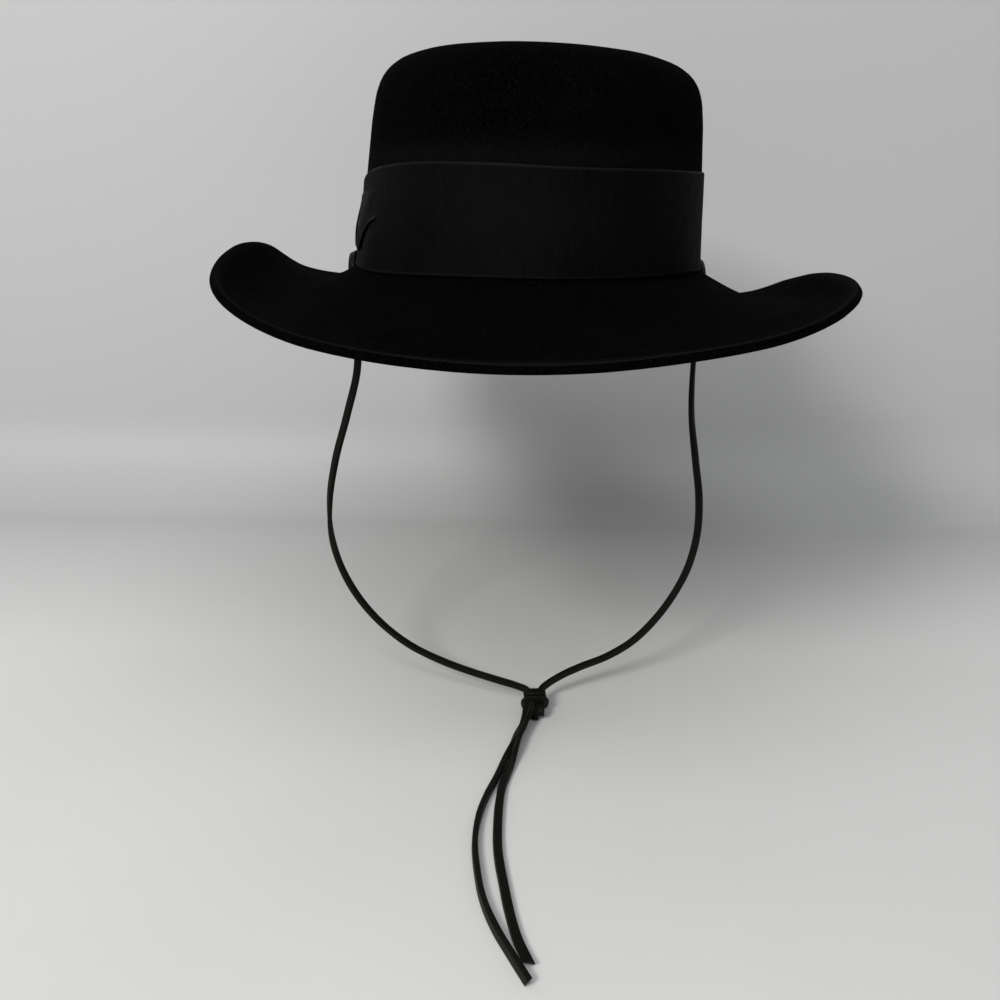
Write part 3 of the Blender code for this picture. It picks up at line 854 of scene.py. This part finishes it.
def make_bow_wrap(finish):
    """The upright strip that holds the bow, turned in above and below it."""
    half = WRAP_WIDTH / BOW_LENGTH / 2
    low, high, puff = (float(value[0]) for value in bow_shape(np.array([0.5 + 1.5 * half])))
    inner = puff + BOW_THICKNESS
    low, high = low - WRAP_ROOM, high + WRAP_ROOM
    corner = 1.2 * MM
    line = [(low, -0.4 * MM), (low, inner - corner)]
    for step in range(1, 6):
        angle = math.radians(90 * step / 5)
        line.append((low + corner * (1 - math.cos(angle)), inner - corner * (1 - math.sin(angle))))
    line += [(low + (high - low) * step / 8, inner + 0.25 * MM * math.sin(math.pi * step / 8)) for step in range(1, 8)]
    line += [(high - (h - low), off) for h, off in reversed(line[:7])]
    line = np.array(line)
    heading = np.gradient(line, axis=0)
    heading /= np.linalg.norm(heading, axis=1, keepdims=True)
    outward = np.stack([-heading[:, 1], heading[:, 0]], axis=1)
    columns = int(WRAP_WIDTH / RIB_PITCH) * RIB_STEPS
    across = np.linspace(-WRAP_WIDTH / 2, WRAP_WIDTH / 2, columns + 1)
    wave = rib_wave(across)
    rings = []
    for side in (1, -1):
        lines = line + outward * BOW_THICKNESS / 2 * side
        order = lines if side > 0 else lines[::-1]
        for height, off in order:
            turns = math.radians(BOW_TURN) - across / (CROWN_LENGTH / 2)
            ribbed = RIB_DEPTH * (wave - 0.5) if side > 0 else 0.0
            taper = 1 - WRAP_TAPER * eased((height - low) / (high - low) * 1.4 - 0.4)
            rings.append(crown_points(turns, height, (BOW_OFF + off) * taper + ribbed))
    mesh = grid_mesh("bow_band", np.array(rings), True, False)
    close_borders(mesh)
    wrap = add_piece("bow_band", mesh, finish, 60)
    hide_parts("bow_wrap")
    return wrap


def close_borders(mesh):
    form = bmesh.new()
    form.from_mesh(mesh)
    border = [edge for edge in form.edges if edge.is_boundary]
    bmesh.ops.holes_fill(form, edges=border, sides=0)
    bmesh.ops.triangulate(form, faces=[face for face in form.faces if len(face.verts) > 4])
    bmesh.ops.recalc_face_normals(form, faces=form.faces)
    form.to_mesh(mesh)
    form.free()


# lace

def smooth_path(points, step):
    """Evenly spaced points on a smooth curve through the given points, in metres."""
    points = np.array(points, float) * MM
    along = np.concatenate([[0], np.cumsum(np.linalg.norm(np.diff(points, axis=0), axis=1))])
    fine = read_smooth(along, points, np.linspace(0, along[-1], 4000))
    reached = np.concatenate([[0], np.cumsum(np.linalg.norm(np.diff(fine, axis=0), axis=1))])
    count = int(reached[-1] / step)
    wanted = np.linspace(0, reached[-1], count)
    return np.stack([np.interp(wanted, reached, fine[:, axis]) for axis in range(3)], axis=1)


def carried_sides(path, first_side):
    """A side vector carried along the path with no twist of its own."""
    heading = np.gradient(path, axis=0)
    heading /= np.linalg.norm(heading, axis=1, keepdims=True)
    side = np.array(first_side, float)
    sides = []
    for direction in heading:
        side = side - direction * side.dot(direction)
        side /= np.linalg.norm(side)
        sides.append(side)
    return heading, np.array(sides)


def lace_section(width, thickness):
    """Outline of a square-cut lace with slightly rounded corners, and how worn each point is."""
    corner = 0.32 * MM
    points, painted_highlight_wear_and_dust = [], []
    for quarter, (cx, cy) in enumerate(((1, 1), (-1, 1), (-1, -1), (1, -1))):
        centre = np.array([cx * (width / 2 - corner), cy * (thickness / 2 - corner)])
        for step in range(3):
            angle = math.radians(90 * quarter + 45 * step)
            points.append(centre + corner * np.array([math.cos(angle), math.sin(angle)]))
            painted_highlight_wear_and_dust.append(1.0 if step == 1 else 0.35)
        if quarter % 2 == 0:
            points.append(np.array([0.0, cy * (thickness / 2 - 0.05 * MM)]))
        else:
            points.append(np.array([cx * (width / 2 - 0.04 * MM), 0.0]))
        painted_highlight_wear_and_dust.append(0.0)
    return np.array(points), np.array(painted_highlight_wear_and_dust)


def lace_mesh(name, path, first_side, twist, seed, width=LACE_WIDTH, thickness=LACE_THICKNESS, slant=0.0):
    """A flat lace swept along a path; twist is a table of (share of the length, degrees).

    Where the path runs on the surface below, the lace is let down until it rests there.
    """
    heading, side = carried_sides(path, first_side)
    up = np.cross(heading, side)
    share = np.linspace(0, 1, len(path))
    rows = np.array(twist, float)
    turn = np.radians(read_smooth(rows[:, 0], rows[:, 1], share)[:, 0])
    broad = side * np.cos(turn)[:, None] + up * np.sin(turn)[:, None]
    thin = np.cross(heading, broad)
    section, edge = lace_section(width, thickness)
    rings, painted_highlight_wear_and_dust, along_marks, across_marks = [], [], [], []
    reached = np.concatenate([[0], np.cumsum(np.linalg.norm(np.diff(path, axis=0), axis=1))])
    for number in range(len(path)):
        at = reached[number]
        wide = 1 + 0.05 * noise(Vector((at * 60, seed, 0)))
        thick = 1 + 0.07 * noise(Vector((at * 80, seed, 5)))
        shift = 0.10 * MM * noise(Vector((at * 45, seed, 9)))
        u = section[:, 0] * wide + shift
        v = section[:, 1] * thick
        ring = path[number] + u[:, None] * broad[number] + v[:, None] * thin[number]
        if slant:
            near_end = max(0.0, 1 - (reached[-1] - at) / (width * 1.2))
            ring = ring + heading[number] * ((u + v)[:, None] * slant * near_end)
        lying = 1 - eased((path[number][2] - SURFACE - LACE_REST) / LACE_REST)
        ring[:, 2] -= lying * (ring[:, 2].min() - SURFACE - REST_GAP)
        rings.append(ring)
        rub = 0.5 + 0.5 * noise(Vector((at * 140, seed, 3)))
        painted_highlight_wear_and_dust.append(edge * 0.45 * rub)
        along_marks.append(np.full(len(section), at * 90 + seed))
        across_marks.append(np.arange(len(section)) * 1.3)
    marks = {"painted_highlight_wear_and_dust": painted_highlight_wear_and_dust, "along": along_marks, "across": across_marks}
    return grid_mesh(name, np.array(rings), False, True, marks, cap=True)


def make_chin_cord(finish):
    path = smooth_path([CHIN_STARTS[0]] + CHIN_ROUTE + [CHIN_STARTS[1]], LACE_STEP)
    mesh = lace_mesh("chin_lace", path, (0, 0, 1), CHIN_TWIST, 1.5)
    cord = add_piece("chin_lace", mesh, finish)
    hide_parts("chin_cord")
    return cord, path


def make_tail(name, node, route, twist, seed, slant, finish):
    path = smooth_path(route, LACE_STEP)
    mesh = lace_mesh(name, path, (1, 0, 0), twist, seed, slant=slant)
    tail = add_piece(name, mesh, finish)
    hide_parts(node)
    return tail, path


def wrap_route():
    """Two turns of lace round the joined ends, flat-sided, tilted to the front and raised on the right."""
    lean = math.radians(KNOT_TILT)
    points = []
    for step in range(49):
        turned = step / 24
        angle = 2 * math.pi * turned - math.pi / 2
        moved = float(eased((turned - 0.8) / 0.4))
        across = math.copysign(abs(math.cos(angle)) ** KNOT_SQUARE, math.cos(angle))
        upward = math.copysign(abs(math.sin(angle)) ** KNOT_SQUARE, math.sin(angle))
        upward *= WRAP_HIGH[0] + (WRAP_HIGH[1] - WRAP_HIGH[0]) * moved
        wide = WRAP_WIDE[0] + (WRAP_WIDE[1] - WRAP_WIDE[0]) * moved
        y = WRAP_FIRST[0] + (WRAP_SECOND[0] - WRAP_FIRST[0]) * moved
        z = WRAP_FIRST[1] + (WRAP_SECOND[1] - WRAP_FIRST[1]) * moved
        points.append((
            KNOT_MIDDLE + wide * across, y - upward * math.sin(lean) + 0.5 * across, z + upward * math.cos(lean),
        ))
    return points


def make_knot(finish):
    """Two wraps of lace round the joined ends, with folds of lace tucked up in front of them."""
    lean = math.radians(KNOT_TILT)
    forward = (0, -math.cos(lean), -math.sin(lean))
    pieces = [add_piece("knot_wraps", lace_mesh(
        "knot_wraps", smooth_path(wrap_route(), 0.5 * MM), forward, STRAIGHT, 7.5, WRAP_LACE, WRAP_LACE_THICKNESS,
    ), finish)]
    core = [(KNOT_MIDDLE, -66.4, -206.0), (KNOT_MIDDLE, -70.0, -207.9), (KNOT_MIDDLE, -74.4, -210.0)]
    pieces.append(add_piece("knot_core", lace_mesh(
        "knot_core", smooth_path(core, 1 * MM), (1, 0, 0), STRAIGHT, 2.5, 8.6 * MM, 5.4 * MM,
    ), finish))
    first_y, first_z = FOLD_LINE[0]
    for number, (across, reach, drop, width) in enumerate(KNOT_FOLDS):
        fold = [
            (KNOT_MIDDLE + across, first_y + (y - first_y) * reach, first_z + (z - first_z) * drop)
            for y, z in FOLD_LINE
        ]
        name = "knot_fold_" + str(number + 1)
        mesh = lace_mesh(name, smooth_path(fold, 0.5 * MM), (1, 0, 0), STRAIGHT, 4.5 + number, width * MM, 1.7 * MM)
        pieces.append(add_piece(name, mesh, finish))
    for piece in pieces:
        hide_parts("cord_knot")
    return pieces


# stage, light and camera

def make_stage():
    """Pale floor that sweeps up into a wall close behind the hat."""
    line = [(-STAGE_SPAN, 0.0), (WALL_PLACE - SWEEP_RADIUS, 0.0)]
    for step in range(1, SWEEP_STEPS):
        angle = math.pi / 2 * step / SWEEP_STEPS
        line.append((WALL_PLACE - SWEEP_RADIUS * (1 - math.sin(angle)), SWEEP_RADIUS * (1 - math.cos(angle))))
    line += [(WALL_PLACE, SWEEP_RADIUS), (WALL_PLACE, STAGE_SPAN)]
    grid = np.array([[(x, y, SURFACE + z) for x in (-STAGE_SPAN, 0.0, STAGE_SPAN)] for y, z in line])
    mesh = grid_mesh("backdrop", grid, False, False)
    mesh.flip_normals()
    backdrop = bpy.data.objects.new("backdrop", mesh)
    bpy.context.scene.collection.objects.link(backdrop)
    mesh.materials.append(floor_material())
    mesh.shade_smooth()


def add_light(name, place, aim, size, power, color=(1, 1, 1)):
    data = bpy.data.lights.new(name, "AREA")
    data.shape = "RECTANGLE"
    data.size, data.size_y = size
    data.energy = power
    data.color = color
    lamp = bpy.data.objects.new(name, data)
    bpy.context.scene.collection.objects.link(lamp)
    lamp.location = place
    lamp.rotation_euler = (Vector(aim) - Vector(place)).to_track_quat("-Z", "Y").to_euler()


def make_lights():
    world = bpy.data.worlds.new("studio")
    bpy.context.scene.world = world
    world.use_nodes = True
    backdrop = world.node_tree.nodes["Background"]
    backdrop.inputs["Color"].default_value = (0.93, 0.94, 0.95, 1.0)
    backdrop.inputs["Strength"].default_value = 0.30
    add_light("key", (-0.85, -1.5, 0.95), (0, 0, -0.05), (0.5, 0.45), 23, (1.0, 0.99, 0.97))
    add_light("overhead", (-0.1, -1.0, 1.3), (0, -0.2, -0.2), (1.6, 1.0), 12, (0.97, 0.99, 1.0))


def make_camera():
    down, roll = math.radians(CAMERA_DOWN), math.radians(CAMERA_ROLL)
    forward = Vector((0, math.cos(down), -math.sin(down)))
    level_up = Vector((0, math.sin(down), math.cos(down)))
    level_right = Vector((1, 0, 0))
    up = level_up * math.cos(roll) - level_right * math.sin(roll)
    right = level_right * math.cos(roll) + level_up * math.sin(roll)
    data = bpy.data.cameras.new("camera")
    data.sensor_fit = "HORIZONTAL"
    data.sensor_width = 36
    data.lens = CAMERA_LENS
    data.clip_start = 0.01
    camera = bpy.data.objects.new("camera", data)
    bpy.context.scene.collection.objects.link(camera)
    turned = Matrix((right, up, -forward)).transposed().to_4x4()
    camera.matrix_world = Matrix.Translation(CAMERA_PLACE) @ turned
    bpy.context.scene.camera = camera
    bpy.context.scene.view_settings.view_transform = "Standard"


def main():
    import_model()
    make_camera()
    make_lights()
    make_stage()
    leather = leather_material()
    chin, chin_path = make_chin_cord(leather)
    left, left_path = make_tail(
        "tail_left_lace", "cord_tail_left", [TAIL_LEFT_START] + TAIL_LEFT_ROUTE, TAIL_LEFT_TWIST, 11.5, 0.6, leather,
    )
    right, right_path = make_tail(
        "tail_right_lace", "cord_tail_right", [TAIL_RIGHT_START] + TAIL_RIGHT_ROUTE, TAIL_RIGHT_TWIST, 21.5, 0.8, leather,
    )
    knot = make_knot(leather)
    make_felt(felt_material())
    ribbon = ribbon_material()
    make_band(ribbon)
    make_bow_loop(ribbon)
    make_bow_wrap(ribbon)


main()
